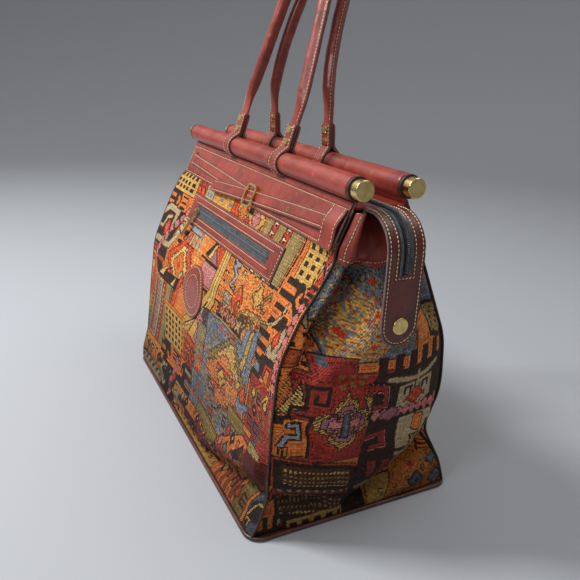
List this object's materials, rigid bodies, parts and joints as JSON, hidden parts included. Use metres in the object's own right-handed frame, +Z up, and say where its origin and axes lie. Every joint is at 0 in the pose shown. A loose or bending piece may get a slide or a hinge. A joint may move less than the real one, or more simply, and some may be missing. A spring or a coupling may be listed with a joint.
{
  "type": "carpet bag",
  "caption": "Soft travel bag of patterned tapestry with leather bands, round top bars with brass caps, rolled handles, a zipped mouth with snapped end tongues, a buckled belt and a zip pocket.",
  "frame": {"origin": "middle of the base, on the surface that the bag stands on", "axes": "+X along the bars, -Y the front with the belt and pocket, +Z up"},
  "size_m": [0.607, 0.2832, 0.648],
  "materials": {
    "leather": "red-brown satin",
    "tapestry": "woven",
    "brass": "polished, worn",
    "dark_trim": "matt",
    "zip": "woven tape",
    "wood": "plain",
    "lining": "matt"
  },
  "bodies": {
    "bag": {"base_panel": "leather", "base_piping": "leather", "front_band": "leather", "back_band": "leather", "right_side_band": "leather", "left_side_band": "leather", "front_sleeve": "leather", "rear_sleeve": "leather", "front_zip_facing": "leather", "rear_zip_facing": "leather", "right_tongue": "leather", "left_tongue": "leather", "buckle_strap": "leather", "tongue_strap": "leather", "pocket_frame": "leather", "stitched_patch": "leather", "front_panel": "tapestry", "back_panel": "tapestry", "right_gusset": "tapestry", "left_gusset": "tapestry", "front_right_cap": "brass", "front_left_cap": "brass", "rear_right_cap": "brass", "rear_left_cap": "brass", "buckle_frame": "brass", "buckle_prong": "brass", "strap_eyelet": "brass", "right_snap_cap": "brass", "left_snap_cap": "brass", "right_snap_post": "brass", "left_snap_post": "brass", "front_right_piping": "dark_trim", "front_left_piping": "dark_trim", "rear_right_piping": "dark_trim", "rear_left_piping": "dark_trim", "bar_end_rings": "dark_trim", "top_zip_tape": "zip", "top_zip_coil": "zip", "pocket_zip_tape": "zip", "pocket_zip_coil": "zip", "front_dowel": "wood", "rear_dowel": "wood", "base_board": "lining", "pocket_pouch": "lining"},
    "front_handle": {"front_handle": "leather", "front_left_loop": "leather", "front_right_loop": "leather", "front_handle_rivets": "brass"},
    "rear_handle": {"rear_handle": "leather", "rear_left_loop": "leather", "rear_right_loop": "leather", "rear_handle_rivets": "brass"},
    "top_slider": {"top_slider": "brass"},
    "top_pull": {"top_pull": "brass"},
    "pocket_slider": {"pocket_slider": "brass"},
    "pocket_pull": {"pocket_pull": "brass"}
  },
  "joints": [
    {"name": "front_handle_swing", "type": "hinge", "parent": "bag", "child": "front_handle", "pos_m": [0, -0.031, 0.395], "axis": [1, 0, 0], "range_deg": [0, 120]},
    {"name": "rear_handle_swing", "type": "hinge", "parent": "bag", "child": "rear_handle", "pos_m": [0, 0.031, 0.395], "axis": [-1, 0, 0], "range_deg": [0, 110]},
    {"name": "top_slider_slide", "type": "slide", "parent": "bag", "child": "top_slider", "axis": [1, 0, 0], "range_m": [0, 0.41]},
    {"name": "top_pull_swing", "type": "hinge", "parent": "top_slider", "child": "top_pull", "pos_m": [-0.205, 0, 0.3803], "axis": [0, 1, 0], "range_deg": [0, 150]},
    {"name": "pocket_slider_slide", "type": "slide", "parent": "bag", "child": "pocket_slider", "axis": [1, 0, 0], "range_m": [0, 0.242]},
    {"name": "pocket_pull_swing", "type": "hinge", "parent": "pocket_slider", "child": "pocket_pull", "pos_m": [-0.121, -0.07759, 0.29518], "axis": [-1, 0, 0], "range_deg": [0, 150]}
  ]
}
